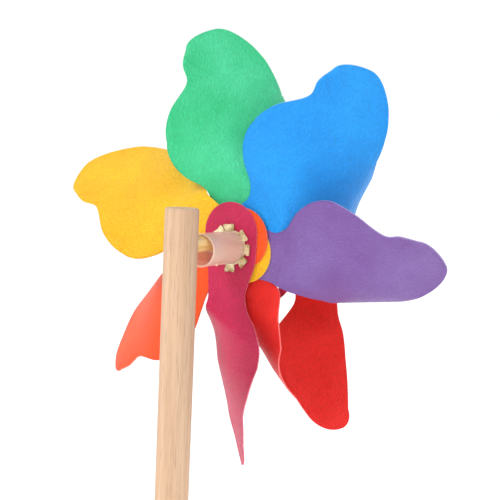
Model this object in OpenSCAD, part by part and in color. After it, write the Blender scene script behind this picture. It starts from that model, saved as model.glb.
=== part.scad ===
// Pinwheel on a stick.
// A wheel of seven looped sheet petals turns on a thin axle that is fixed in a round wooden stick.
// Frame: +Z up along the stick, +Y forward along the axle, origin at the stick's lower end.
// Each petal is one sheet with two ears. The rear ear and the front ear sit on the bearing tube,
// and the sheet between them rolls over in a loop on the clockwise side, seen from behind.

/* [Stick] */
// Diameter of the round stick
stick_d = 10; // [9:0.5:12]
// Length of the stick
stick_length = 300; // [200:10:400]
// Chamfer on the stick's cut ends
stick_chamfer = 0.4; // [0.2:0.1:0.8]
// Distance of the axle's centre below the stick's top
axle_drop = 11; // [10:0.5:20]

/* [Axle and hub] */
// Diameter of the bamboo axle
axle_d = 5; // [4.6:0.1:5.4]
// Inner diameter of the bearing tube
tube_bore_d = 9; // [8.6:0.1:9.2]
// Outer diameter of the bearing tube
tube_od = 10; // [9.8:0.1:10.4]
// Distance from the stick's centre line to the tube's rear end
tube_start = 10; // [8:0.5:14]
// Length of tube that stands out past the front eyelet
tube_nose = 5; // [3:0.5:8]
// Diameter of the bead on the axle's front end
bead_d = 14; // [12:0.5:18]
// Length of the bead
bead_length = 11; // [9:0.5:14]

/* [Ears and eyelets] */
// Distance from the stick's centre line to the rearmost ear
rear_stack_y = 26.3; // [22:0.1:30]
// Distance from the outermost petal's rear ear to its front ear
ear_gap = 42; // [38:0.5:46]
// Thickness of the petal sheet
sheet_t = 0.45; // [0.4:0.01:0.46]
// Distance between two neighbouring ears in a stack
layer_pitch = 0.5; // [0.5:0.05:0.7]
// Radius of an ear's round end
ear_r = 9.3; // [9:0.05:9.6]
// Distance from the hole to the centre of the ear's round end
ear_set_back = 4.4; // [4:0.1:5]
// Wall of the eyelet's barrel
eyelet_wall = 0.35; // [0.3:0.05:0.4]
// Thickness of the eyelet's flange and tabs
eyelet_t = 0.3; // [0.2:0.05:0.5]
// Outer radius of the eyelet's flange and tabs
eyelet_r = 7.4; // [7:0.1:8]
// Number of tabs that the eyelet's end is split into
eyelet_tabs = 8; // [6:1:10]

/* [Petal shape] */
// Steepness of the sheet's tilt near the middle of a petal
pitch_mid = 0.18; // [0.1:0.01:0.25]
// Steepness of the sheet's tilt at the petal's tip
pitch_tip = 1.10; // [0.5:0.01:1.2]
// Radius where the fold starts
fold_start = 24; // [24:0.5:27]
// Radius where the fold ends
fold_end = 51; // [48:0.5:53]
// Offset of the fold from the petal's centre line at its inner end
fold_in = -16.9; // [-18:0.1:-15]
// Offset of the fold from the petal's centre line at its outer end
fold_out = -14.9; // [-17:0.1:-13]
// Offset where the sheet starts to curl towards the fold
curl_start = 11; // [6:0.5:12]
// Radius of the wide half's tip
tip_radius = 67.4; // [64:0.1:70]
// Offset of the wide half's tip from the petal's centre line
tip_offset = -3; // [-6:0.5:0]
// Fullness of the wide half's tip on the fold's side: 0 is straight and 1 is a quarter of an ellipse
tip_fullness = 0.5; // [0:0.05:1]
// Reach of the orange petal past the fold's start, as a share of the others'
orange_reach = 0.89; // [0.85:0.01:1]
// Offset of the magenta petal's tip from its centre line
slim_tip_offset = -1.5; // [-4:0.5:0]
// Fullness of the magenta petal's tip on the fold's side
slim_fullness = 0.05; // [0:0.05:1]
// Steps of the fold that the front tongue covers
tongue_steps = 4; // [3:1:6]
// Steps of the fold that the red petal's rear tongue covers
red_tongue_steps = 6; // [5:1:8]
// Radius of the tip on the red petal's front half
red_tip_radius = 60.5; // [58:0.5:64]
// Offset of that tip from the petal's centre line
red_tip_offset = -8; // [-10:0.5:-6]

/* [Hidden] */
$fn = 64;

// The tube hangs on the axle, so the axle lies at the top of the bore with this clearance
bore_clearance = 0.05;
axle_z = stick_length - axle_drop;
hub_z = axle_z - (tube_bore_d - axle_d) / 2 + bore_clearance;
layers = 7;
stack_depth = (layers - 1) * layer_pitch;
front_stack_y = rear_stack_y + ear_gap - stack_depth;
stack_clearance = 0.05;
eyelet_reach = sheet_t / 2 + stack_clearance;
tube_end = front_stack_y + stack_depth + tube_nose;
bead_start = tube_end + 0.5;
hole_clearance = 0.05;
barrel_r = tube_od / 2 + eyelet_wall;
ear_hole_r = barrel_r + hole_clearance;
axle_seat = 0.01;
bead_floor = 3;

// Free edge of the wide half on its counter-clockwise side: [radius, offset]
// ear, neck, big lobe, notch and tip lobe
wide_edge = [
    [-ear_set_back, ear_r], [5, 8.4], [14, 4.9], [17, 5.2], [20, 6.8], [24, 11], [30, 14.5],
    [36.3, 15], [44.5, 11.5], [52.2, 5.5], [57.8, 5.4], [62.8, 4.1]
];
// The same edge of the orange petal, which has fuller necks
full_edge = [
    [-ear_set_back, ear_r], [5, 8.6], [14, 5], [17, 6], [20, 8.3], [24, 11.6], [30, 14.5],
    [36.3, 15], [44.5, 11.5], [52.2, 5.5], [57.8, 5.4], [62.8, 4.1]
];
// The same edge of the slimmer magenta petal
slim_edge = [
    [-ear_set_back, ear_r], [5, 8.4], [14, 4.9], [17, 5.2], [20, 6.8], [24, 10.2], [30, 12.2],
    [36, 10.9], [44, 7], [51.5, 2.6], [57, 2.4], [63, 1.6]
];
// Free edge of the front tongue, up to the fold
tongue_edge = [[-ear_set_back, ear_r], [5, 8.2], [14, 5.2], [20, 3], [26, -4], [31, -12]];
// Free edge of the magenta petal's narrow front tongue
slim_tongue_edge = [
    [-ear_set_back, ear_r], [5, 6.5], [10, 0.5], [14, -3.5], [18, -8], [22, -11.3], [27, -13],
    [32, -14.6]
];
// Free edge of the red petal's rear tongue, up to the fold
red_tongue_edge = [[-ear_set_back, ear_r], [5, 8], [14, 6], [20, 7.6], [27, 3.2], [34, -2]];
// Free edge of the red petal's front half
red_edge = [
    [-ear_set_back, ear_r], [5, 8.2], [14, 5.1], [20, 2.4], [26, 0.2], [32, -0.4],
    [40, -2.2], [48, -3.6], [56, -5.5]
];
red_fullness = 0.85;
// Clockwise edge of a petal's two necks, up to where it rounds into the fold
neck_end = 22;
neck_edge = [[-ear_set_back, -ear_r], [5, -8.9], [10, -9.4], [14, -10.3], [19, -13.5], [neck_end, -15.4]];
// The yellow petal's necks are fuller
full_neck_edge = [
    [-ear_set_back, -ear_r], [5, -8.9], [10, -9.8], [14, -11.6], [19, -14.7], [neck_end, -16]
];
// The magenta petal's rear and front necks are slimmer
slim_neck_edge = [[-ear_set_back, -ear_r], [5, -8.4], [14, -8.3], [17, -8.9], [20, -10.8], [neck_end, -14]];
slim_front_neck_edge = [
    [-ear_set_back, -ear_r], [5, -8.4], [10, -8.5], [14, -8.8], [18, -11.5], [neck_end, -15.6]
];
// How far the sheet leans forward along the petal
lean = [[-20, 0], [14, 0], [16, 0], [24, -1.3], [36, -0.7], [50, 3.3], [67, 6.3]];
// The sheet is flat up to this radius, where its neighbours lie on it
flat_end = 14.5;

// Steps of the petal's mesh
end_steps = 6;
neck_steps = 11;
fold_steps = 10;
tip_steps = 8;
width_steps = 10;
closing = 0.9995;

// Value between 0 and 1
function unit(t) = min(max(t, 0), 1);

// Smooth step from 0 to 1
function ease(t) = let (u = unit(t)) u * u * (3 - 2 * u);

// Slope of the curve at knot i
function slope(k, i) =
    let (a = max(i - 1, 0), b = min(i + 1, len(k) - 1))
    (k[b][1] - k[a][1]) / (k[b][0] - k[a][0]);

// Index of the span of knots that holds x
function span(k, x, i = 0) = i >= len(k) - 2 || x < k[i + 1][0] ? i : span(k, x, i + 1);

// Smooth curve through knots of [x, value]
function curve(k, x) =
    let (
        i = span(k, x),
        h = k[i + 1][0] - k[i][0],
        t = unit((x - k[i][0]) / h),
        t2 = t * t,
        t3 = t2 * t
    )
    (2 * t3 - 3 * t2 + 1) * k[i][1] + (t3 - 2 * t2 + t) * h * slope(k, i)
    + (3 * t2 - 2 * t3) * k[i + 1][1] + (t3 - t2) * h * slope(k, i + 1);

// Quarter of an ellipse: 1 at u = 0 and 0 at u = 1
function round_off(u) = sqrt(max(1 - u * u, 0));

// Fold line and tilt along the petal
function fold(r) = fold_in + (fold_out - fold_in) * unit((r - fold_start) / (fold_end - fold_start));
function tilt(r) =
    (pitch_mid + (pitch_tip - pitch_mid) * unit((r - 36) / 24)) * ease((r - flat_end) / 13);
function curl(r) = -10.2 + (curl_start + 10.2) * ease((r - flat_end) / 17);
function depth(r, mid) = mid - curve(lean, r) + tilt(r) * fold(r);

// Half width of an ear's round end
function ear_half_width(r) = ear_r * round_off((r + ear_set_back) / ear_r);

// One half of a petal:
// [free edge, neck edge, tip offset, end radius, fullness of the tip's fold side, last row]
function tongue(knots, neck, steps) =
    let (last = fold_first + steps, end = row_radius(last, tip_radius))
    [knots, neck, fold(end), end + 0.01, 1, last];
function wide(knots, neck, tip, fullness, reach = 1) =
    [stretched(knots, reach), neck, tip, past_fold_start(tip_radius, reach), fullness, last_row];

// A radius with its distance past the fold's start scaled, and knots with such radii
function past_fold_start(r, reach) = fold_start + (r - fold_start) * (r > fold_start ? reach : 1);
function stretched(knots, reach) = [for (k = knots) [past_fold_start(k[0], reach), k[1]]];

// Edges of one half: counter-clockwise side and clockwise side
function outer_edge(half, r) =
    let (knots = half[0], tip = half[2], end = half[3], last = knots[len(knots) - 1])
    r < -ear_set_back ? ear_half_width(r)
    : r <= last[0] ? curve(knots, r)
    : tip + (last[1] - tip) * round_off((r - last[0]) / (end - last[0]));
function inner_edge(half, r) =
    let (
        neck = half[1],
        tip = half[2],
        u = (r - fold_end) / (half[3] - fold_end),
        v = (r - neck_end) / (fold_start - neck_end)
    )
    r < -ear_set_back ? -ear_half_width(r)
    : r < neck_end ? curve(neck, r)
    : r < fold_start ? fold_in + (curve(neck, neck_end) - fold_in) * round_off(v)
    : r <= fold_end ? fold(r)
    : tip - (tip - fold_out) * (half[4] * round_off(u) + (1 - half[4]) * (1 - u));

// Sheet at radius r and offset s: its depth y, and its outward direction along s and y
function sheet(r, s, mid) =
    let (
        reach = curl(r) - fold(r),
        w = unit((curl(r) - s) / reach),
        q = round_off(w),
        deep = depth(r, mid),
        along_s = -deep * w / reach - tilt(r) * q,
        size = norm([along_s, q])
    )
    [mid - deep * q - tilt(r) * (s - fold(r)), along_s / size, -q / size];

// Radius of mesh row i of a half that ends at the given radius
function row_radius(i, end) =
    i < end_steps ? -ear_set_back - ear_r * closing * cos(90 * i / end_steps)
    : i < fold_first ? -ear_set_back + (fold_start + ear_set_back) * (i - end_steps) / neck_steps
    : i < fold_last ? fold_start + (fold_end - fold_start) * (i - fold_first) / fold_steps
    : fold_end + (end - fold_end) * closing * sin(90 * (i - fold_last) / tip_steps);
row_points = width_steps + 1;
fold_first = end_steps + neck_steps;
fold_last = fold_first + fold_steps;
last_row = fold_last + tip_steps;

// Points [radius, y, offset] of one face of one half; side is 1 outside and -1 inside
function half_points(half, mid, front, side) = [
    for (i = [0 : half[5]], j = [0 : width_steps])
        let (
            r = row_radius(i, half[3]),
            low = inner_edge(half, r),
            high = outer_edge(half, r),
            s = low + (high - low) * (1 - cos(90 * j / width_steps)),
            p = sheet(r, s, mid),
            y = p[0] + side * p[2] * sheet_t / 2
        )
        [r, front ? 2 * mid - y : y, s + side * p[1] * sheet_t / 2]
];

// Two triangles of a quad, turned over on request
function quad(a, b, c, d, turned) = turned ? [[a, c, b], [a, d, c]] : [[a, b, c], [a, c, d]];

// Faces of one half: at(i, j, k) is the index of row i, column j on the outside (k = 0) or inside (k = 1)
function half_faces(at, last, joined_last, turned) = [
    for (i = [0 : last - 1], j = [0 : width_steps - 1]) each concat(
        quad(at(i, j, 0), at(i, j + 1, 0), at(i + 1, j + 1, 0), at(i + 1, j, 0), turned),
        quad(at(i, j, 1), at(i + 1, j, 1), at(i + 1, j + 1, 1), at(i, j + 1, 1), turned)
    ),
    for (i = [0 : last - 1], w = width_steps) each
        quad(at(i + 1, w, 0), at(i, w, 0), at(i, w, 1), at(i + 1, w, 1), turned),
    for (i = [0 : last - 1]) if (i < fold_first || i >= joined_last) each
        quad(at(i, 0, 0), at(i + 1, 0, 0), at(i + 1, 0, 1), at(i, 0, 1), turned),
    for (j = [0 : width_steps - 1]) each concat(
        quad(at(0, j + 1, 0), at(0, j, 0), at(0, j, 1), at(0, j + 1, 1), turned),
        quad(at(last, j, 0), at(last, j + 1, 0), at(last, j + 1, 1), at(last, j, 1), turned)
    )
];

// One looped petal of a rear half and a front half, turned about the wheel's centre.
// Its layer is the same in both ear stacks, counted inwards from the outermost ears.
module petal(turn, layer, rear_half, front_half) {
    mid = ear_gap / 2 - layer * layer_pitch;
    joined_last = min(rear_half[5], front_half[5]);
    rear_count = (rear_half[5] + 1) * row_points;
    front_count = (front_half[5] + 1) * row_points;
    rear = function (i, j, k) k * rear_count + i * row_points + j;
    front = function (i, j, k)
        j == 0 && i >= fold_first && i <= joined_last
            ? rear(i, 0, k)
            : 2 * rear_count + k * front_count + i * row_points + j;
    translate([0, rear_stack_y + layer * layer_pitch, hub_z])
        rotate([0, -turn, 0])
            difference() {
                polyhedron(
                    points = concat(
                        half_points(rear_half, mid, false, 1),
                        half_points(rear_half, mid, false, -1),
                        half_points(front_half, mid, true, 1),
                        half_points(front_half, mid, true, -1)
                    ),
                    faces = concat(
                        half_faces(rear, rear_half[5], joined_last, false),
                        half_faces(front, front_half[5], joined_last, true)
                    )
                );
                along_y(-1, ear_gap + 1, ear_hole_r);
            }
}

// A petal with its wide half at the rear and its tongue in front
module wide_petal(turn, layer, edge = wide_edge, neck = neck_edge, reach = 1) {
    petal(
        turn, layer,
        wide(edge, neck, tip_offset, tip_fullness, reach),
        tongue(tongue_edge, neck, tongue_steps)
    );
}

// Cylinder along +Y from one y to another
module along_y(from, to, r) {
    translate([0, from, 0])
        rotate([-90, 0, 0])
            cylinder(h = to - from, r = r);
}

// Split eyelet: barrel through a stack of ears, flange on one side and bent tabs on the other.
// It is drawn with its tabs on the -Y side of a stack that starts at y = 0.
module eyelet() {
    tab_y = -eyelet_reach - eyelet_t;
    flange_y = stack_depth + eyelet_reach;
    difference() {
        union() {
            along_y(tab_y, flange_y + eyelet_t, barrel_r);
            along_y(flange_y, flange_y + eyelet_t, eyelet_r);
            for (i = [0 : eyelet_tabs - 1])
                rotate([0, 360 * i / eyelet_tabs, 0])
                    translate([tube_od / 2, tab_y, -barrel_r * sin(180 / eyelet_tabs) * 0.8])
                        cube([eyelet_r - tube_od / 2, eyelet_t, barrel_r * sin(180 / eyelet_tabs) * 1.6]);
        }
        along_y(tab_y - 1, flange_y + eyelet_t + 1, tube_od / 2 + stack_clearance / 2);
    }
}

// Round stick with chamfered ends and a blind cross hole for the axle
module stick() {
    color([0.87, 0.72, 0.57])
        difference() {
            union() {
                cylinder(h = stick_chamfer, r1 = stick_d / 2 - stick_chamfer, r2 = stick_d / 2);
                translate([0, 0, stick_chamfer])
                    cylinder(h = stick_length - 2 * stick_chamfer, r = stick_d / 2);
                translate([0, 0, stick_length - stick_chamfer])
                    cylinder(h = stick_chamfer, r1 = stick_d / 2, r2 = stick_d / 2 - stick_chamfer);
            }
            translate([0, 0, axle_z])
                along_y(-stick_d / 4, stick_d, axle_d / 2 + axle_seat);
        }
}

// Bamboo axle from inside the stick to inside the bead
module axle() {
    color([0.80, 0.62, 0.34])
        translate([0, 0, axle_z])
            along_y(-stick_d / 4 + axle_seat, bead_start + bead_length - bead_floor, axle_d / 2);
}

// Round bead with flat faces on the axle's front end
module front_bead() {
    color([0.88, 0.74, 0.58])
        translate([0, bead_start, axle_z])
            difference() {
                translate([0, bead_length / 2, 0])
                    rotate([-90, 0, 0])
                        sphere(d = bead_d);
                for (y = [-bead_d, bead_length])
                    translate([-bead_d, y, -bead_d])
                        cube([2 * bead_d, bead_d, 2 * bead_d]);
                along_y(-1, bead_length - bead_floor + axle_seat, axle_d / 2 + axle_seat);
            }
}

// Thin-walled plastic tube that the wheel turns on
module bearing_tube() {
    color([0.93, 0.85, 0.82, 0.6])
        translate([0, 0, hub_z])
            difference() {
                along_y(tube_start, tube_end, tube_od / 2);
                along_y(tube_start - 1, tube_end + 1, tube_bore_d / 2);
            }
}

// Eyelet of the rear ears, with its tabs towards the stick
module rear_eyelet() {
    color([0.76, 0.70, 0.48])
        translate([0, rear_stack_y, hub_z])
            eyelet();
}

// Eyelet of the front ears, with its tabs towards the front
module front_eyelet() {
    color([0.76, 0.70, 0.48])
        translate([0, front_stack_y + stack_depth, hub_z])
            mirror([0, 1, 0])
                eyelet();
}

// The seven petals
module petal_magenta() {
    color([0.82, 0.23, 0.38])
        petal(
            273, 0,
            wide(slim_edge, slim_neck_edge, slim_tip_offset, slim_fullness),
            tongue(slim_tongue_edge, slim_front_neck_edge, tongue_steps)
        );
}

module petal_orange() {
    color([1.00, 0.42, 0.20])
        wide_petal(222, 1, full_edge, reach = orange_reach);
}

module petal_yellow() {
    color([1.00, 0.80, 0.22])
        wide_petal(165, 2, neck = full_neck_edge);
}

module petal_green() {
    color([0.25, 0.78, 0.47])
        wide_petal(106.8, 6);
}

module petal_blue() {
    color([0.16, 0.58, 0.92])
        wide_petal(56.5, 4);
}

module petal_purple() {
    color([0.55, 0.40, 0.70])
        wide_petal(2.4, 3);
}

module petal_red() {
    color([0.88, 0.15, 0.13])
        petal(
            303, 5,
            tongue(red_tongue_edge, neck_edge, red_tongue_steps),
            [red_edge, neck_edge, red_tip_offset, red_tip_radius, red_fullness, last_row]
        );
}

stick();
axle();
front_bead();
bearing_tube();
rear_eyelet();
front_eyelet();
petal_magenta();
petal_orange();
petal_yellow();
petal_green();
petal_blue();
petal_purple();
petal_red();
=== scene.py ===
"""Looks for the stick pinwheel: sheet petals, wood, bamboo, milky tube and brass."""

import math
import random

import bmesh
import bpy
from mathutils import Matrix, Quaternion, Vector, noise


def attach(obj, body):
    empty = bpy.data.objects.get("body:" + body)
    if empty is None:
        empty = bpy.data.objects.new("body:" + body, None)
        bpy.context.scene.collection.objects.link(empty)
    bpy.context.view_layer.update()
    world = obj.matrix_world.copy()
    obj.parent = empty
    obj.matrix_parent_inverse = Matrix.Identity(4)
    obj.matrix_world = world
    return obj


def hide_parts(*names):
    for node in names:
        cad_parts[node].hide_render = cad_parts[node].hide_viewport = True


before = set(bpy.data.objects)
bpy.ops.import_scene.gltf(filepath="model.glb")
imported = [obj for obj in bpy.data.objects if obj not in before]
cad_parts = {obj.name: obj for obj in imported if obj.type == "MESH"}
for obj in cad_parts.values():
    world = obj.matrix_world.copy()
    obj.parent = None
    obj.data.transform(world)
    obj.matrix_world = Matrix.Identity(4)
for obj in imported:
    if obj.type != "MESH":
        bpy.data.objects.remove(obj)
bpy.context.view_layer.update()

# ---------------------------------------------------------------- sizes in millimetres, as in part.scad
MM = 0.001
STICK_LENGTH = 300.0
STICK_D = 10.0
AXLE_DROP = 11.0
AXLE_D = 5.0
TUBE_BORE_D = 9.0
TUBE_OD = 10.0
TUBE_START = 10.0
TUBE_NOSE = 5.0
BEAD_GAP = 0.5
BEAD_LENGTH = 11.0
BEAD_END_WALL = 3.0
BORE_CLEARANCE = 0.05
REAR_STACK_Y = 26.3
EAR_GAP = 42.0
LAYERS = 7
LAYER_PITCH = 0.5
SHEET_T = 0.45
EAR_HOLE_R = 5.4
BARREL_R = 5.35

AXLE_Z = STICK_LENGTH - AXLE_DROP
HUB_Z = AXLE_Z - (TUBE_BORE_D - AXLE_D) / 2 + BORE_CLEARANCE
STACK_DEPTH = (LAYERS - 1) * LAYER_PITCH
FRONT_STACK_Y = REAR_STACK_Y + EAR_GAP - STACK_DEPTH
TUBE_END = FRONT_STACK_Y + STACK_DEPTH + TUBE_NOSE
BEAD_START = TUBE_END + BEAD_GAP

# ---------------------------------------------------------------- camera
CAM_AZIMUTH = 33.8
CAM_ELEVATION = 5.4
CAM_ROLL = 2.3
CAM_DISTANCE = 0.615
CAM_LENS = 147.0
CAM_AIM = (0.0057, -0.0006, 0.0)


def make_camera():
    """Camera behind the stick, a little above and to its right, aimed close to the hub."""
    data = bpy.data.cameras.new("camera")
    data.lens = CAM_LENS
    data.clip_start = 0.01
    data.clip_end = 100.0
    camera = bpy.data.objects.new("camera", data)
    bpy.context.scene.collection.objects.link(camera)
    azimuth, elevation = math.radians(CAM_AZIMUTH), math.radians(CAM_ELEVATION)
    back = Vector((
        math.sin(azimuth) * math.cos(elevation),
        -math.cos(azimuth) * math.cos(elevation),
        math.sin(elevation),
    ))
    wheel = Vector((0.0, REAR_STACK_Y, HUB_Z)) * MM
    camera.location = wheel + back * CAM_DISTANCE
    level = (-back).to_track_quat("-Z", "Y")
    ahead = wheel + level @ Vector(CAM_AIM) - camera.location
    camera.rotation_mode = "QUATERNION"
    spin = Quaternion(ahead.normalized(), -math.radians(CAM_ROLL))
    camera.rotation_quaternion = spin @ ahead.to_track_quat("-Z", "Y")
    bpy.context.scene.camera = camera


make_camera()


# ---------------------------------------------------------------- node helpers
def new_material(name):
    """Empty node material and its tree."""
    material = bpy.data.materials.new(name)
    material.use_nodes = True
    tree = material.node_tree
    tree.nodes.clear()
    return material, tree


def add(tree, kind, **settings):
    """New node. A setting named in_Something sets that input's value."""
    node = tree.nodes.new(kind)
    for key, value in settings.items():
        if key.startswith("in_"):
            node.inputs[key[3:].replace("_", " ")].default_value = value
        else:
            setattr(node, key, value)
    return node


def ramp(tree, factor, *stops):
    """Colour ramp over (position, grey or colour) stops."""
    node = tree.nodes.new("ShaderNodeValToRGB")
    elements = node.color_ramp.elements
    while len(elements) < len(stops):
        elements.new(0.5)
    for element, (place, value) in zip(elements, stops):
        element.position = place
        element.color = (*value, 1.0) if isinstance(value, tuple) else (value, value, value, 1.0)
    tree.links.new(factor, node.inputs["Fac"])
    return node.outputs["Color"]


def mix_color(tree, factor, a, b, blend="MIX"):
    """Mix of two colours. Each input is a socket, a colour or a number."""
    node = tree.nodes.new("ShaderNodeMix")
    node.data_type = "RGBA"
    node.blend_type = blend
    sockets = [s for s in node.inputs if s.enabled]
    for socket, value in zip(sockets, (factor, a, b)):
        if isinstance(value, bpy.types.NodeSocket):
            tree.links.new(value, socket)
        elif isinstance(value, tuple):
            socket.default_value = (*value, 1.0)
        else:
            socket.default_value = value
    return next(s for s in node.outputs if s.enabled)


def mapped(tree, source, scale, rotation=0.0):
    """Texture coordinates, scaled and turned about their third axis."""
    node = tree.nodes.new("ShaderNodeMapping")
    node.inputs["Scale"].default_value = scale
    node.inputs["Rotation"].default_value = (0.0, 0.0, rotation)
    tree.links.new(source, node.inputs["Vector"])
    return node.outputs["Vector"]


def texture_noise(tree, vector, scale, detail=3.0, roughness=0.55, distortion=0.0):
    """Noise value from 0 to 1."""
    node = add(tree, "ShaderNodeTexNoise")
    node.inputs["Scale"].default_value = scale
    node.inputs["Detail"].default_value = detail
    node.inputs["Roughness"].default_value = roughness
    node.inputs["Distortion"].default_value = distortion
    tree.links.new(vector, node.inputs["Vector"])
    return node.outputs["Fac"]


def bump(tree, height, strength, distance, normal=None):
    """Bump of a height, on top of an earlier one if given."""
    node = add(tree, "ShaderNodeBump")
    node.inputs["Strength"].default_value = strength
    node.inputs["Distance"].default_value = distance
    tree.links.new(height, node.inputs["Height"])
    if normal is not None:
        tree.links.new(normal, node.inputs["Normal"])
    return node.outputs["Normal"]


def principled(tree, **values):
    """Principled shader. Each value is a socket to link, a colour or a number."""
    node = add(tree, "ShaderNodeBsdfPrincipled")
    for key, value in values.items():
        socket = node.inputs[key.replace("_", " ")]
        if isinstance(value, bpy.types.NodeSocket):
            tree.links.new(value, socket)
        elif isinstance(value, tuple) and len(value) == 3:
            socket.default_value = (*value, 1.0)
        else:
            socket.default_value = value
    return node


def finish_material(tree, shader):
    """Links the shader to the material's output."""
    out = add(tree, "ShaderNodeOutputMaterial")
    tree.links.new(shader, out.inputs["Surface"])


def linear(r, g, b):
    """Linear colour of an 8-bit sRGB one."""
    def one(c):
        c /= 255.0
        return c / 12.92 if c <= 0.04045 else ((c + 0.055) / 1.055) ** 2.4
    return (one(r), one(g), one(b))


# ---------------------------------------------------------------- materials
GRAIN_TURN = math.radians(50)


def sheet_material(name, color, deep):
    """Thin plastic sheet with an embossed leather grain that runs aslant over each petal. Its colour
    carries painted shade in the grain's grooves and a painted highlight on its ridges.
    """
    material, tree = new_material(name)
    uv = add(tree, "ShaderNodeUVMap", uv_map="sheet").outputs["UV"]
    along = mapped(tree, uv, (0.9, 2.5, 1.0), GRAIN_TURN)
    wrinkle = texture_noise(tree, along, 1.0, 4.0, 0.6, 0.9)
    fine = texture_noise(tree, mapped(tree, uv, (1.9, 4.2, 1.0), GRAIN_TURN), 1.0, 3.0, 0.6, 0.5)
    cells = add(tree, "ShaderNodeTexVoronoi", feature="DISTANCE_TO_EDGE")
    cells.inputs["Scale"].default_value = 1.0
    tree.links.new(mapped(tree, uv, (0.9, 1.9, 1.0), GRAIN_TURN), cells.inputs["Vector"])
    creases = ramp(tree, cells.outputs["Distance"], (0.0, 0.0), (0.16, 1.0))
    cloud = texture_noise(tree, uv, 0.055, 2.0)
    shade = mix_color(tree, ramp(tree, cloud, (0.35, 0.0), (0.7, 1.0)), deep, color)
    # Painted shade and highlight: the colour is darkened where the grain is low and lightened where it
    # is high.
    grain_shade_and_highlight = ramp(tree, wrinkle, (0.36, 0.9), (0.5, 1.0), (0.64, 1.12))
    shade = mix_color(tree, 1.0, shade, grain_shade_and_highlight, "MULTIPLY")
    rough = ramp(tree, fine, (0.3, 0.30), (0.7, 0.46))
    normal = bump(tree, creases, 0.3, 0.0001)
    normal = bump(tree, wrinkle, 0.8, 0.0006, normal)
    normal = bump(tree, fine, 0.35, 0.00018, normal)
    shader = principled(
        tree, Base_Color=shade, Roughness=rough, Normal=normal, Specular_IOR_Level=0.25,
    )
    finish_material(tree, shader.outputs["BSDF"])
    return material


def edge_material(name, color):
    """Cut edge of the sheet: paler in patches, a painted highlight along the edge, with fine bumps from
    the same noise.
    """
    material, tree = new_material(name)
    uv = add(tree, "ShaderNodeUVMap", uv_map="sheet").outputs["UV"]
    edge_bumps_and_highlight = texture_noise(tree, uv, 3.0, 2.0)
    # Painted highlight: a paler copy of the sheet's colour, mixed in patches over the cut edge.
    pale = tuple(0.22 + 0.78 * c for c in color)
    shade = mix_color(tree, ramp(tree, edge_bumps_and_highlight, (0.3, 0.0), (0.7, 1.0)), color, pale)
    normal = bump(tree, edge_bumps_and_highlight, 0.2, 0.0001)
    shader = principled(tree, Base_Color=shade, Roughness=0.45, Normal=normal)
    finish_material(tree, shader.outputs["BSDF"])
    return material


def wood_material(name, light, dark, grain=(1.0, 1.0, 0.02)):
    """Sanded pale wood with fine straight grain, short pores and a few darker streaks."""
    material, tree = new_material(name)
    where = add(tree, "ShaderNodeTexCoord").outputs["Object"]
    stretch = mapped(tree, where, tuple(1000 * g for g in grain))
    streaks = texture_noise(tree, stretch, 0.55, 3.0, 0.6, 0.2)
    lines = texture_noise(tree, stretch, 2.4, 4.0, 0.65, 0.1)
    pores = texture_noise(tree, mapped(tree, where, (1800.0, 1800.0, 90.0)), 1.6, 2.0, 0.5)
    broad = texture_noise(tree, where, 22.0, 2.0)
    body = mix_color(tree, ramp(tree, streaks, (0.35, 0.0), (0.68, 1.0)), light, dark)
    body = mix_color(tree, ramp(tree, lines, (0.42, 0.0), (0.72, 0.8)), body, dark)
    body = mix_color(
        tree, 1.0, body, ramp(tree, pores, (0.56, 1.0), (0.68, 0.78)), "MULTIPLY"
    )
    body = mix_color(tree, 1.0, body, ramp(tree, broad, (0.3, 0.94), (0.7, 1.03)), "MULTIPLY")
    rough = ramp(tree, lines, (0.3, 0.50), (0.7, 0.68))
    normal = bump(tree, lines, 0.25, 0.00012)
    normal = bump(tree, pores, 0.25, 0.00008, normal)
    shader = principled(tree, Base_Color=body, Roughness=rough, Normal=normal)
    finish_material(tree, shader.outputs["BSDF"])
    return material


def bamboo_material(name):
    """Split bamboo: golden, with long dark fibre bundles."""
    material, tree = new_material(name)
    where = add(tree, "ShaderNodeTexCoord").outputs["Object"]
    fibres = texture_noise(tree, mapped(tree, where, (1300.0, 30.0, 1300.0)), 1.5, 4.0, 0.6)
    bundles = texture_noise(tree, mapped(tree, where, (600.0, 14.0, 600.0)), 1.3, 2.0, 0.5)
    body = mix_color(
        tree, ramp(tree, fibres, (0.35, 0.0), (0.65, 1.0)),
        linear(246, 212, 150), linear(216, 166, 92),
    )
    body = mix_color(tree, ramp(tree, bundles, (0.5, 0.0), (0.66, 0.7)), body, linear(176, 128, 68))
    rough = ramp(tree, fibres, (0.3, 0.42), (0.7, 0.62))
    normal = bump(tree, fibres, 0.45, 0.00015)
    shader = principled(tree, Base_Color=body, Roughness=rough, Normal=normal)
    finish_material(tree, shader.outputs["BSDF"])
    return material


def tube_material(name, clearness):
    """Milky, straw-like plastic. Clearness is how much of what is behind it shows through."""
    material, tree = new_material(name)
    where = add(tree, "ShaderNodeTexCoord").outputs["Object"]
    haze = texture_noise(tree, mapped(tree, where, (240.0, 60.0, 240.0)), 1.0, 3.0)
    lines = texture_noise(tree, mapped(tree, where, (900.0, 40.0, 900.0)), 1.0, 2.0)
    shade = mix_color(
        tree, ramp(tree, haze, (0.35, 0.0), (0.7, 1.0)),
        linear(244, 214, 196), linear(238, 200, 182),
    )
    rough = ramp(tree, lines, (0.3, 0.20), (0.7, 0.28))
    shader = principled(
        tree, Base_Color=shade, Roughness=rough, Normal=bump(tree, lines, 0.05, 0.00003),
        Specular_IOR_Level=0.6,
    )
    clear = add(tree, "ShaderNodeBsdfTransparent", in_Color=(1.0, 0.95, 0.92, 1.0))
    mix = add(tree, "ShaderNodeMixShader", in_Fac=1.0 - clearness)
    tree.links.new(clear.outputs["BSDF"], mix.inputs[1])
    tree.links.new(shader.outputs["BSDF"], mix.inputs[2])
    finish_material(tree, mix.outputs["Shader"])
    return material


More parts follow.
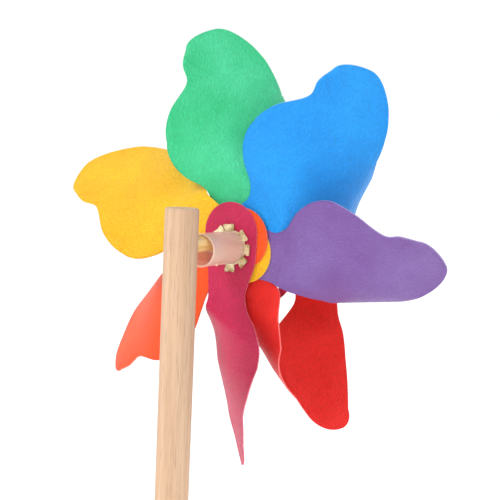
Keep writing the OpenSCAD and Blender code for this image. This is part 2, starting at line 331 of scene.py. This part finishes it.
def brass_material(name):
    """Thin pale brass, darker olive in random patches, and scratched."""
    material, tree = new_material(name)
    where = add(tree, "ShaderNodeTexCoord").outputs["Object"]
    cream_olive_patches = texture_noise(tree, mapped(tree, where, (420.0, 420.0, 420.0)), 1.0, 4.0, 0.6)
    scratch = texture_noise(tree, mapped(tree, where, (2400.0, 500.0, 900.0)), 1.0, 3.0)
    # Random patches from pale cream to a darker olive.
    shade = mix_color(
        tree, ramp(tree, cream_olive_patches, (0.35, 0.0), (0.65, 1.0)),
        linear(244, 234, 196), linear(170, 148, 92),
    )
    rough = ramp(tree, scratch, (0.3, 0.28), (0.7, 0.5))
    normal = bump(tree, cream_olive_patches, 0.35, 0.0002)
    normal = bump(tree, scratch, 0.2, 0.00006, normal)
    shader = principled(tree, Base_Color=shade, Roughness=rough, Normal=normal, Metallic=0.6)
    finish_material(tree, shader.outputs["BSDF"])
    return material


def floor_material():
    """Plain white studio floor with hardly any mottling."""
    material, tree = new_material("studio_floor")
    where = add(tree, "ShaderNodeTexCoord").outputs["Object"]
    speck = texture_noise(tree, where, 6.0, 2.0)
    shade = ramp(tree, speck, (0.3, 0.97), (0.7, 0.99))
    shader = principled(
        tree, Base_Color=shade, Roughness=1.0, Specular_IOR_Level=0.0,
        Emission_Color=(1.0, 1.0, 1.0), Emission_Strength=0.16,
    )
    finish_material(tree, shader.outputs["BSDF"])
    return material


# ---------------------------------------------------------------- petal shape
# r runs along the petal and s across it, in millimetres from the hub's centre line. The shape is
# part.scad's, with the fold's end rounded, tongues that taper, and fuller green and yellow necks.
EAR_R = 9.3
EAR_SET_BACK = 4.4
FLAT_END = 14.5
NECK_END = 22.0
PITCH_MID = 0.18
PITCH_TIP = 1.10
PITCH_START = 36.0
PITCH_SPAN = 24.0
TILT_SPAN = 13.0
FOLD_START = 24.0
FOLD_END = 51.0
FOLD_IN = -16.9
FOLD_OUT = -14.9
ROUND_START = 44.0
ROUND_END = 56.0
SLOPE_STEP = 0.1
CURL_START = 11.0
CURL_FLOOR = -10.2
CURL_SPAN = 17.0
TIP_RADIUS = 67.4
TIP_OFFSET = -3.0
TIP_FULLNESS = 0.5
ORANGE_REACH = 0.89
SLIM_TIP_OFFSET = -1.5
SLIM_FULLNESS = 0.05
RED_TIP_RADIUS = 60.5
RED_TIP_OFFSET = -8.0
RED_FULLNESS = 0.85
TONGUE_END = 43.0
RED_TONGUE_END = 46.0
TONGUE_RIM = 0.02
LEAN = [(-20, 0), (14, 0), (16, 0), (24, -1.3), (36, -0.7), (50, 3.3), (67, 6.3)]

# Rows of points along a half, and columns across it
EAR_ROWS = 14
NECK_ROWS = 34
FOLD_ROWS = 36
TIP_ROWS = 26
COLUMNS = 44

# Rounded ends stop just short of a point, and a tongue's last two rows keep this far apart
CLOSING = 0.9999
LAST_ROW_GAP = 0.2

# Free edges and necks, as (r, s) knots
WIDE_BULB = [(30, 14.5), (36.3, 15), (44.5, 11.5), (52.2, 5.5), (57.8, 5.4), (62.8, 4.1)]
WIDE_EDGE = [
    (-EAR_SET_BACK, EAR_R), (5, 8.4), (14, 4.9), (17, 5.2), (20, 6.8), (24, 11), *WIDE_BULB,
]
GREEN_EDGE = [
    (-EAR_SET_BACK, EAR_R), (5, 8.8), (11, 7.8), (14, 6.8), (17, 5.6), (20, 6.6), (24, 11),
    *WIDE_BULB,
]
FULL_EDGE = [
    (-EAR_SET_BACK, EAR_R), (5, 8.6), (14, 5), (17, 6), (20, 8.3), (24, 11.6), *WIDE_BULB,
]
SLIM_EDGE = [
    (-EAR_SET_BACK, EAR_R), (5, 8.4), (14, 4.9), (17, 5.2), (20, 6.8), (24, 10.2), (30, 12.2),
    (36, 10.9), (44, 7), (51.5, 2.6), (57, 2.4), (63, 1.6),
]
TONGUE_EDGE = [(-EAR_SET_BACK, EAR_R), (5, 8.2), (14, 5.2), (20, 3), (26, -4), (31, -12)]
RED_TONGUE_EDGE = [(-EAR_SET_BACK, EAR_R), (5, 8), (14, 6), (20, 7.6), (27, 3.2), (34, -2)]
RED_EDGE = [
    (-EAR_SET_BACK, EAR_R), (5, 8.2), (14, 5.1), (20, 2.4), (26, 0.2), (32, -0.4),
    (40, -2.2), (48, -3.6), (56, -5.5),
]
NECK_EDGE = [
    (-EAR_SET_BACK, -EAR_R), (5, -8.9), (10, -9.4), (14, -10.3), (19, -13.5), (NECK_END, -15.4),
]
FULL_NECK_EDGE = [
    (-EAR_SET_BACK, -EAR_R), (5, -9.4), (10, -10.9), (14, -12), (19, -14.7), (NECK_END, -16),
]
SLIM_NECK_EDGE = [
    (-EAR_SET_BACK, -EAR_R), (5, -8.4), (14, -8.3), (17, -8.9), (20, -10.8), (NECK_END, -14),
]
SLIM_TONGUE_EDGE = [
    (-EAR_SET_BACK, EAR_R), (5, 6.5), (10, 0.5), (14, -3.5), (18, -8), (22, -11.3), (27, -13),
    (32, -14.6),
]
SLIM_FRONT_NECK_EDGE = [
    (-EAR_SET_BACK, -EAR_R), (5, -8.4), (10, -8.5), (14, -8.8), (18, -11.5), (NECK_END, -15.6),
]


def unit(t):
    """t held between 0 and 1."""
    return min(max(t, 0.0), 1.0)


def ease(t):
    """Smooth step from 0 to 1."""
    u = unit(t)
    return u * u * (3 - 2 * u)


def curve(knots, x):
    """Smooth curve through (x, value) knots."""
    last = len(knots) - 1

    def slope(i):
        a, b = max(i - 1, 0), min(i + 1, last)
        return (knots[b][1] - knots[a][1]) / (knots[b][0] - knots[a][0])

    i = 0
    while i < last - 1 and x >= knots[i + 1][0]:
        i += 1
    h = knots[i + 1][0] - knots[i][0]
    t = unit((x - knots[i][0]) / h)
    t2, t3 = t * t, t * t * t
    return (
        (2 * t3 - 3 * t2 + 1) * knots[i][1] + (t3 - 2 * t2 + t) * h * slope(i)
        + (3 * t2 - 2 * t3) * knots[i + 1][1] + (t3 - t2) * h * slope(i + 1)
    )


def round_off(u):
    """Quarter circle, from 1 at u = 0 to 0 at u = 1."""
    return math.sqrt(max(1 - u * u, 0.0))


def fold(r):
    """Where the sheet turns back from the rear half to the front half."""
    return FOLD_IN + (FOLD_OUT - FOLD_IN) * unit((r - FOLD_START) / (FOLD_END - FOLD_START))


def tilt(r):
    """Slope of the half across the petal."""
    grow = PITCH_MID + (PITCH_TIP - PITCH_MID) * unit((r - PITCH_START) / PITCH_SPAN)
    return grow * ease((r - FLAT_END) / TILT_SPAN)


def curl(r):
    """Where the flat part ends and the bend toward the fold begins."""
    return CURL_FLOOR + (CURL_START - CURL_FLOOR) * ease((r - FLAT_END) / CURL_SPAN)


def sheet_y(r, s, mid):
    """Depth of the rear half's middle surface."""
    deep = mid - curve(LEAN, r) + tilt(r) * fold(r)
    w = unit((curl(r) - s) / (curl(r) - fold(r)))
    return mid - deep * round_off(w) - tilt(r) * (s - fold(r))


def sheet_out(r, s, mid):
    """Outward direction along s and y."""
    deep = mid - curve(LEAN, r) + tilt(r) * fold(r)
    reach = curl(r) - fold(r)
    w = unit((curl(r) - s) / reach)
    q = round_off(w)
    along = -deep * w / reach - tilt(r) * q
    size = math.hypot(along, q)
    return along / size, -q / size


class Half:
    """One half of a petal: free edge, neck, tip's offset, end radius, fullness, if it is a tongue."""

    def __init__(self, knots, neck, tip, end, fullness, tongue=False):
        self.knots, self.neck, self.tip, self.end = knots, neck, tip, end
        self.fullness, self.tongue = fullness, tongue

    def outer(self, r):
        """The free edge's offset."""
        last = self.knots[-1]
        if r < -EAR_SET_BACK:
            return EAR_R * round_off((r + EAR_SET_BACK) / EAR_R)
        if r <= last[0]:
            return curve(self.knots, r)
        u = (r - last[0]) / (self.end - last[0])
        if self.tongue:
            return fold(r) + (last[1] - fold(last[0])) * (1 - u) ** 2 + TONGUE_RIM
        return self.tip + (last[1] - self.tip) * round_off(u)

    def inner(self, r):
        """Offset of the neck's edge, then the fold, then the tip's lower edge."""
        if r < -EAR_SET_BACK:
            return -EAR_R * round_off((r + EAR_SET_BACK) / EAR_R)
        if r < NECK_END:
            return curve(self.neck, r)
        if r < FOLD_START:
            v = (r - NECK_END) / (FOLD_START - NECK_END)
            return FOLD_IN + (curve(self.neck, NECK_END) - FOLD_IN) * round_off(v)
        if self.tongue or r <= ROUND_START:
            return fold(r)
        if r < ROUND_END:
            return self.rounded(r)
        return self.past_fold(r)

    def past_fold(self, r):
        """The tip's lower edge."""
        u = (r - FOLD_END) / (self.end - FOLD_END)
        side = self.fullness * round_off(u) + (1 - self.fullness) * (1 - u)
        return self.tip - (self.tip - FOLD_OUT) * side

    def rounded(self, r):
        """A gentle way off the fold that meets the tip's lower edge at its own slope."""
        lift = self.past_fold(ROUND_END) - fold(ROUND_END)
        slope = (self.past_fold(ROUND_END + SLOPE_STEP) - self.past_fold(ROUND_END)) / SLOPE_STEP
        power = slope * (ROUND_END - ROUND_START) / lift
        return fold(r) + lift * ((r - ROUND_START) / (ROUND_END - ROUND_START)) ** power

    def rows(self):
        """Distances along the petal that get a row of points."""
        quarter = math.pi / 2
        neck_length, fold_length = FOLD_START + EAR_SET_BACK, FOLD_END - FOLD_START
        ear = [
            -EAR_SET_BACK - EAR_R * CLOSING * math.cos(quarter * i / EAR_ROWS)
            for i in range(EAR_ROWS)
        ]
        neck = [-EAR_SET_BACK + neck_length * i / NECK_ROWS for i in range(NECK_ROWS)]
        along = [FOLD_START + fold_length * i / FOLD_ROWS for i in range(FOLD_ROWS)]
        if self.tongue:
            return ear + neck + [r for r in along if r < self.end - LAST_ROW_GAP] + [self.end]
        tip = [
            FOLD_END + (self.end - FOLD_END) * CLOSING * math.sin(quarter * i / TIP_ROWS)
            for i in range(TIP_ROWS + 1)
        ]
        return ear + neck + along + tip


def stretched(knots, reach):
    """Knots with their distance past the fold's start scaled."""
    return [(FOLD_START + (r - FOLD_START) * reach if r > FOLD_START else r, s) for r, s in knots]


def wide(knots, neck, tip=TIP_OFFSET, fullness=TIP_FULLNESS, reach=1.0):
    """A wide half that reaches the petal's tip."""
    end = FOLD_START + (TIP_RADIUS - FOLD_START) * reach
    return Half(stretched(knots, reach), neck, tip, end, fullness)


def tongue(knots, neck, end):
    """A narrow half that tapers out along the fold."""
    return Half(knots, neck, fold(end), end, 1.0, tongue=True)


WIDE = wide(WIDE_EDGE, NECK_EDGE)
GREEN_WIDE = wide(GREEN_EDGE, NECK_EDGE)
SHORT = wide(FULL_EDGE, NECK_EDGE, reach=ORANGE_REACH)
FULL = wide(WIDE_EDGE, FULL_NECK_EDGE)
SLIM = wide(SLIM_EDGE, SLIM_NECK_EDGE, SLIM_TIP_OFFSET, SLIM_FULLNESS)
TONGUE = tongue(TONGUE_EDGE, NECK_EDGE, TONGUE_END)
FULL_TONGUE = tongue(TONGUE_EDGE, FULL_NECK_EDGE, TONGUE_END)
SLIM_TONGUE = tongue(SLIM_TONGUE_EDGE, SLIM_FRONT_NECK_EDGE, TONGUE_END)
RED_TONGUE = tongue(RED_TONGUE_EDGE, NECK_EDGE, RED_TONGUE_END)
RED_WIDE = Half(RED_EDGE, NECK_EDGE, RED_TIP_OFFSET, RED_TIP_RADIUS, RED_FULLNESS)

# Petal: turn in degrees, layer from the outermost ear, rear half, front half, two 8-bit colours
PETALS = {
    "magenta": (273.0, 0, SLIM, SLIM_TONGUE, (199, 38, 84), (186, 32, 74)),
    "orange": (222.0, 1, SHORT, TONGUE, (244, 88, 28), (240, 78, 24)),
    "yellow": (165.0, 2, FULL, FULL_TONGUE, (245, 190, 32), (243, 178, 26)),
    "green": (106.8, 6, GREEN_WIDE, TONGUE, (74, 206, 148), (52, 190, 126)),
    "blue": (56.5, 4, WIDE, TONGUE, (32, 156, 240), (26, 144, 230)),
    "purple": (2.4, 3, WIDE, TONGUE, (130, 100, 168), (122, 86, 156)),
    "red": (303.0, 5, RED_TONGUE, RED_WIDE, (246, 50, 44), (236, 38, 32)),
}

# Material slots of a sheet, and the gap between its two halves in the UV map
FACE_SLOT = 0
RIM_SLOT = 1
UV_GAP = 40.0


def finished(bm, name):
    """Mesh made from a bmesh, its faces turned outward."""
    bmesh.ops.recalc_face_normals(bm, faces=bm.faces)
    mesh = bpy.data.meshes.new(name)
    bm.to_mesh(mesh)
    bm.free()
    return mesh


def unrolled(offsets, depths):
    """Distances across the sheet when it is laid flat, from the free edge inward."""
    flats = [offsets[-1]]
    for j in range(COLUMNS - 1, -1, -1):
        step = math.hypot(offsets[j + 1] - offsets[j], depths[j + 1] - depths[j])
        flats.append(flats[-1] - step)
    flats.reverse()
    return flats


def half_grid(half, mid, is_front, vertex):
    """Rows of vertex pairs, a vertex on each face of the sheet."""
    grid = []
    for r in half.rows():
        low, high = half.inner(r), half.outer(r)
        offsets = [
            low + (high - low) * (1 - math.cos(math.pi / 2 * j / COLUMNS))
            for j in range(COLUMNS + 1)
        ]
        depths = [sheet_y(r, s, mid) for s in offsets]
        line = []
        for s, y, v in zip(offsets, depths, unrolled(offsets, depths)):
            out_s, out_y = sheet_out(r, s, mid)
            flat_v = 2 * fold(r) - v - UV_GAP if is_front else v
            pair = []
            for side in (1, -1):
                depth = y + side * out_y * SHEET_T / 2
                offset = s + side * out_s * SHEET_T / 2
                pair.append(vertex(r, 2 * mid - depth if is_front else depth, offset, flat_v))
            line.append(pair)
        grid.append(line)
    return grid


def skin(grid, face):
    """Both faces of a half, and the rim all round it."""
    last = len(grid) - 1
    for i in range(last):
        near, far = grid[i], grid[i + 1]
        for j in range(COLUMNS):
            face(near[j][0], near[j + 1][0], far[j + 1][0], far[j][0], FACE_SLOT)
            face(near[j][1], far[j][1], far[j + 1][1], near[j + 1][1], FACE_SLOT)
        face(far[-1][0], near[-1][0], near[-1][1], far[-1][1], RIM_SLOT)
        face(near[0][0], far[0][0], far[0][1], near[0][1], RIM_SLOT)
    first, end = grid[0], grid[last]
    for j in range(COLUMNS):
        face(first[j + 1][0], first[j][0], first[j][1], first[j + 1][1], RIM_SLOT)
        face(end[j][0], end[j + 1][0], end[j + 1][1], end[j][1], RIM_SLOT)


def weld(bm):
    """Joins the halves along the fold and drops the rim faces that end up inside the sheet."""
    bmesh.ops.remove_doubles(bm, verts=bm.verts, dist=0.002 * MM)
    bm.verts.index_update()
    doubled = {}
    for made in bm.faces:
        key = frozenset(v.index for v in made.verts)
        doubled.setdefault(key, []).append(made)
    spare = [f for same in doubled.values() if len(same) > 1 for f in same]
    bmesh.ops.delete(bm, geom=spare, context="FACES_ONLY")


def petal_mesh(name, turn, layer, rear, front):
    """The petal as one closed sheet, its eyelet hole not yet cut. The rim takes the second material."""
    mid = EAR_GAP / 2 - layer * LAYER_PITCH
    angle = math.radians(turn)
    cos_t, sin_t = math.cos(angle), math.sin(angle)
    base_y = REAR_STACK_Y + layer * LAYER_PITCH
    bm = bmesh.new()
    uv_layer = bm.loops.layers.uv.new("sheet")
    flat = {}

    def vertex(r, y, s, flat_v):
        place = Vector((r * cos_t - s * sin_t, y + base_y, HUB_Z + r * sin_t + s * cos_t)) * MM
        made = bm.verts.new(place)
        flat[made] = (r, flat_v)
        return made

    for half, is_front in ((rear, False), (front, True)):
        def face(a, b, c, d, slot):
            made = bm.faces.new((a, d, c, b) if is_front else (a, b, c, d))
            made.material_index = slot
            made.smooth = slot == FACE_SLOT
            for loop in made.loops:
                loop[uv_layer].uv = flat[loop.vert]

        skin(half_grid(half, mid, is_front, vertex), face)
    weld(bm)
    return finished(bm, name)


def link(name, mesh, *materials):
    """Object for a mesh, in the scene and with its materials."""
    piece = bpy.data.objects.new(name, mesh)
    bpy.context.scene.collection.objects.link(piece)
    for material in materials:
        mesh.materials.append(material)
    return piece


PUNCH_STEPS = 96
PUNCH_LENGTH = 200.0


def punch(piece):
    """Cuts the eyelet's hole through both ears."""
    cutter_mesh = bpy.data.meshes.new("punch")
    bm = bmesh.new()
    bmesh.ops.create_cone(
        bm, cap_ends=True, segments=PUNCH_STEPS, radius1=EAR_HOLE_R * MM, radius2=EAR_HOLE_R * MM,
        depth=PUNCH_LENGTH * MM,
    )
    lie_down = Quaternion((1, 0, 0), math.pi / 2).to_matrix()
    bmesh.ops.rotate(bm, verts=bm.verts, cent=(0, 0, 0), matrix=lie_down)
    bmesh.ops.translate(bm, verts=bm.verts, vec=(0, 0, HUB_Z * MM))
    bm.to_mesh(cutter_mesh)
    bm.free()
    cutter = bpy.data.objects.new("punch", cutter_mesh)
    bpy.context.scene.collection.objects.link(cutter)
    cut = piece.modifiers.new("punch", "BOOLEAN")
    cut.operation = "DIFFERENCE"
    cut.solver = "EXACT"
    cut.object = cutter
    graph = bpy.context.evaluated_depsgraph_get()
    done = bpy.data.meshes.new_from_object(piece.evaluated_get(graph))
    piece.modifiers.clear()
    old = piece.data
    piece.data = done
    bpy.data.meshes.remove(old)
    bpy.data.objects.remove(cutter)
    bpy.data.meshes.remove(cutter_mesh)


for color_name, (turn, layer, rear, front, color, deep) in PETALS.items():
    sheet = sheet_material(f"{color_name}_sheet_look", linear(*color), linear(*deep))
    edge = edge_material(f"{color_name}_cut_edge", linear(*color))
    petal = link(
        f"sheet_{color_name}", petal_mesh(f"sheet_{color_name}", turn, layer, rear, front),
        sheet, edge,
    )
    punch(petal)
    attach(petal, "wheel")
    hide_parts(f"petal_{color_name}")


# ---------------------------------------------------------------- round pieces
def ring(bm, radii, y, centre_z):
    """Ring of vertices about an axis along Y, with a radius for each of them."""
    made = []
    for k, radius in enumerate(radii):
        angle = 2 * math.pi * k / len(radii)
        across, up = radius * math.cos(angle), radius * math.sin(angle)
        made.append(bm.verts.new(Vector((across, y, centre_z + up)) * MM))
    return made


def bridge(bm, near, far):
    """Faces between two rings."""
    made = []
    for k in range(len(near)):
        n = (k + 1) % len(near)
        made.append(bm.faces.new((near[k], near[n], far[n], far[k])))
    return made


# ---------------------------------------------------------------- eyelets
EYELET_T = 0.3
EYELET_R = 7.4
EYELET_TABS = 8
EYELET_REACH = SHEET_T / 2 + 0.05
EYELET_STEPS = 96
FLANGE_CHAMFER = 0.1
BARREL_IN = TUBE_OD / 2 + 0.03
TAB_Y = -EYELET_REACH - EYELET_T
TAB_ROOT = 0.05
TAB_STEPS = 8
TAB_TURN = 0.12
TAB_EXTRA = (-0.35, 0.15)
TAB_HALF_WIDTH = (1.6, 1.95)
TAB_LIFT = 0.25
TAB_SKEW = 0.25
TAB_DRAW = 0.12
TAB_CRUMPLE = 0.22
TAB_CREASE = 0.26
TAB_NOTCH = 0.16
TAB_METAL = 0.8


def eyelet_barrel(bm):
    """Barrel through the ears, with the flange at its +Y end."""
    flange_y = STACK_DEPTH + EYELET_REACH
    profile = [
        (BARREL_IN, TAB_Y + TAB_ROOT), (BARREL_IN, flange_y + EYELET_T),
        (EYELET_R - FLANGE_CHAMFER, flange_y + EYELET_T), (EYELET_R, flange_y + EYELET_T / 2),
        (EYELET_R - FLANGE_CHAMFER, flange_y), (BARREL_R, flange_y), (BARREL_R, TAB_Y + TAB_ROOT),
    ]
    rings = [ring(bm, [radius] * EYELET_STEPS, y, 0.0) for radius, y in profile]
    for near, far in zip(rings, rings[1:] + rings[:1]):
        bridge(bm, near, far)


def tab_side(bm, centre, length, width, lift, skew, seed, thickness):
    """Grid of vertices over one side of a tab: u runs outward and v across."""
    grid = []
    for i in range(TAB_STEPS + 1):
        u = i / TAB_STEPS
        row = []
        for j in range(TAB_STEPS + 1):
            v = 2 * j / TAB_STEPS - 1
            # A tab widens outward, narrows again near its end and has a notch in it.
            pinch = 0.74 + 0.4 * u - 0.22 * max(u - 0.72, 0.0) / 0.28
            notch = TAB_NOTCH * (1 - abs(v)) * max(u - 0.6, 0.0) / 0.4
            radius = BARREL_IN + 0.01 + length * (u - notch)
            across = width * pinch * v + skew * u
            crumple = TAB_CRUMPLE * noise.noise(Vector((centre * 7 + u * 3.1, v * 2.7, seed))) * u
            drawn = TAB_DRAW * (1 - u) ** 2
            y = TAB_Y - drawn - lift * u * u - crumple - TAB_CREASE * abs(v) * u + thickness
            angle = centre + across / radius
            place = Vector((radius * math.cos(angle), y, radius * math.sin(angle)))
            row.append(bm.verts.new(place * MM))
        grid.append(row)
    return grid


def eyelet_tab(bm, rng, tab, seed):
    """One crumpled tab, bent out at -Y."""
    centre = 2 * math.pi * (tab + rng.uniform(-TAB_TURN, TAB_TURN)) / EYELET_TABS
    length = EYELET_R - BARREL_IN + rng.uniform(*TAB_EXTRA)
    width = rng.uniform(*TAB_HALF_WIDTH)
    lift = rng.uniform(0.0, TAB_LIFT)
    skew = rng.uniform(-TAB_SKEW, TAB_SKEW)
    shape = (centre, length, width, lift, skew, seed)
    under = tab_side(bm, *shape, EYELET_T * TAB_METAL)
    top = tab_side(bm, *shape, 0.0)
    for i in range(TAB_STEPS):
        for j in range(TAB_STEPS):
            bm.faces.new((under[i][j], under[i][j + 1], under[i + 1][j + 1], under[i + 1][j]))
            bm.faces.new((top[i][j], top[i + 1][j], top[i + 1][j + 1], top[i][j + 1]))
    steps, down = range(TAB_STEPS), range(TAB_STEPS, 0, -1)
    border = [(0, j) for j in steps] + [(i, TAB_STEPS) for i in steps]
    border += [(TAB_STEPS, j) for j in down] + [(i, 0) for i in down]
    for (i, j), (k, m) in zip(border, border[1:] + border[:1]):
        bm.faces.new((under[i][j], under[k][m], top[k][m], top[i][j]))


def eyelet_mesh(name, seed):
    """Split eyelet whose outermost ear has its middle at y = 0."""
    rng = random.Random(seed)
    bm = bmesh.new()
    eyelet_barrel(bm)
    for tab in range(EYELET_TABS):
        eyelet_tab(bm, rng, tab, seed)
    return finished(bm, name)


def sharpen(piece, degrees=40):
    """Smooth shading with sharp edges above an angle."""
    bm = bmesh.new()
    bm.from_mesh(piece.data)
    limit = math.radians(degrees)
    for e in bm.edges:
        e.smooth = len(e.link_faces) == 2 and e.calc_face_angle(0.0) < limit
    for f in bm.faces:
        f.smooth = True
    bm.to_mesh(piece.data)
    bm.free()


brass = brass_material("eyelet_brass_look")
for node, start, seed in (("rear_eyelet", REAR_STACK_Y, 3), ("front_eyelet", FRONT_STACK_Y, 9)):
    eyelet = link(f"split_{node}", eyelet_mesh(f"split_{node}", seed), brass)
    flip = node == "front_eyelet"
    for vert in eyelet.data.vertices:
        y = vert.co.y
        if flip:
            y = STACK_DEPTH * MM - y
        vert.co = (vert.co.x, y + start * MM, vert.co.z + HUB_Z * MM)
    if flip:
        eyelet.data.flip_normals()
    sharpen(eyelet)
    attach(eyelet, "wheel")
    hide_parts(node)


# ---------------------------------------------------------------- bamboo axle
AXLE_STEPS = 120
AXLE_RINGS = 48
AXLE_SKIN = 0.02
GROOVE_DEPTH = 0.14
FIBRE_DEPTH = 0.05
AXLE_START = -STICK_D / 4 + 0.01
AXLE_END = BEAD_START + BEAD_LENGTH - BEAD_END_WALL


def fibrous_radius(angle, y):
    """The rod's radius, less its grooves and the finer marks between fibres."""
    across, up = math.cos(angle), math.sin(angle)
    groove = noise.noise(Vector((3.2 * across, y * 0.02, 3.2 * up)))
    fibre = noise.noise(Vector((9 * across, y * 0.05, 9 * up)))
    worn = GROOVE_DEPTH * max(groove, 0.0) + FIBRE_DEPTH * max(fibre, 0.0)
    return AXLE_D / 2 - AXLE_SKIN - worn


def axle_mesh(name):
    """Rod just inside the CAD axle's cylinder, with shallow grooves along its fibres."""
    bm = bmesh.new()
    rings = []
    for i in range(AXLE_RINGS + 1):
        y = AXLE_START + (AXLE_END - AXLE_START) * i / AXLE_RINGS
        radii = [fibrous_radius(2 * math.pi * k / AXLE_STEPS, y) for k in range(AXLE_STEPS)]
        rings.append(ring(bm, radii, y, AXLE_Z))
    for near, far in zip(rings, rings[1:]):
        bridge(bm, near, far)
    bm.faces.new(rings[0])
    bm.faces.new(list(reversed(rings[-1])))
    return finished(bm, name)


axle = link("bamboo_axle", axle_mesh("bamboo_axle"), bamboo_material("bamboo_look"))
sharpen(axle, 60)
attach(axle, "stand")
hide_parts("axle")


# ---------------------------------------------------------------- bearing tube
LIP = 0.12
TUBE_STEPS = 128
TUBE_RINGS = 24
WALL_SLOT = 0
LIP_SLOT = 1
WALL_CLEARNESS = 0.46
LIP_CLEARNESS = 0.05


def tube_mesh(name):
    """Drawn tube with bevelled lips. The lips take the second, milkier material."""
    inner, outer = TUBE_BORE_D / 2, TUBE_OD / 2
    span = TUBE_END - TUBE_START
    along = [TUBE_START + LIP + (span - 2 * LIP) * i / TUBE_RINGS for i in range(TUBE_RINGS + 1)]
    profile = [(outer, y, WALL_SLOT) for y in along]
    profile += [(outer - LIP, TUBE_END, LIP_SLOT), (inner + LIP, TUBE_END, LIP_SLOT)]
    profile += [(inner, y, WALL_SLOT) for y in reversed(along)]
    profile += [(inner + LIP, TUBE_START, LIP_SLOT), (outer - LIP, TUBE_START, LIP_SLOT)]
    bm = bmesh.new()
    rings = [ring(bm, [radius] * TUBE_STEPS, y, HUB_Z) for radius, y, _ in profile]
    for i, near in enumerate(rings):
        n = (i + 1) % len(rings)
        for made in bridge(bm, near, rings[n]):
            made.material_index = max(profile[i][2], profile[n][2])
    return finished(bm, name)


tube = link(
    "milky_tube", tube_mesh("milky_tube"), tube_material("tube_wall_look", WALL_CLEARNESS),
    tube_material("tube_lip_look", LIP_CLEARNESS),
)
sharpen(tube)
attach(tube, "wheel")
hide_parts("bearing_tube")


# ---------------------------------------------------------------- CAD nodes that stay
BEAD_GRAIN = (1.0, 0.03, 1.0)


def dress(node, material):
    """Gives a CAD node its procedural material."""
    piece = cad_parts[node]
    for slot in piece.material_slots:
        slot.material = material
    if not piece.material_slots:
        piece.data.materials.append(material)


dress("stick", wood_material("stick_wood_look", linear(213, 179, 149), linear(192, 154, 122)))
dress("front_bead", wood_material(
    "bead_wood_look", linear(228, 192, 154), linear(208, 166, 124), BEAD_GRAIN,
))


# ---------------------------------------------------------------- studio, in metres
FLOOR_RADIUS = 12.0
SOFTBOX_SIDE = (-0.62, 0.74, 0.25)
SOFTBOX_DIM = 0.96
WORLD_STRENGTH = 1.02
WHEEL_CENTRE = (0.0, 0.045, HUB_Z * MM)

# Lamp: place, size, watts
LAMPS = {
    "key": ((-0.45, -1.0, 1.2), 0.45, 7.5),
    "fill": ((0.9, -1.0, 0.18), 0.8, 2.5),
    "front_fill": ((0.4, 1.4, 0.9), 1.0, 5.0),
}


def make_floor():
    """Round white floor under the stick's lower end."""
    mesh = bpy.data.meshes.new("studio_floor")
    bm = bmesh.new()
    bmesh.ops.create_circle(bm, cap_ends=True, segments=96, radius=FLOOR_RADIUS)
    bm.to_mesh(mesh)
    bm.free()
    floor = link("studio_floor", mesh, floor_material())


def area_light(name, place, size, energy):
    """Round soft lamp that faces the wheel."""
    data = bpy.data.lights.new(name, "AREA")
    data.shape = "DISK"
    data.size = size
    data.energy = energy
    lamp = bpy.data.objects.new(name, data)
    bpy.context.scene.collection.objects.link(lamp)
    lamp.location = place
    lamp.rotation_mode = "QUATERNION"
    lamp.rotation_quaternion = (Vector(WHEEL_CENTRE) - Vector(place)).to_track_quat("-Z", "Y")


def make_world():
    """White surroundings, a little brighter on the side of the large soft box."""
    world = bpy.data.worlds.new("studio")
    world.use_nodes = True
    tree = world.node_tree
    background = tree.nodes["Background"]
    where = add(tree, "ShaderNodeTexCoord").outputs["Generated"]
    ahead = add(tree, "ShaderNodeVectorMath", operation="DOT_PRODUCT")
    ahead.inputs[1].default_value = SOFTBOX_SIDE
    tree.links.new(where, ahead.inputs[0])
    spread = add(tree, "ShaderNodeMapRange")
    spread.inputs["From Min"].default_value = -1.0
    tree.links.new(ahead.outputs["Value"], spread.inputs["Value"])
    glow = ramp(tree, spread.outputs["Result"], (0.0, SOFTBOX_DIM), (0.75, 1.0))
    tree.links.new(glow, background.inputs["Color"])
    background.inputs["Strength"].default_value = WORLD_STRENGTH
    bpy.context.scene.world = world
    bpy.context.scene.view_settings.view_transform = "Standard"


make_floor()
make_world()
for lamp_name, (place, size, watts) in LAMPS.items():
    area_light(lamp_name, place, size, watts)
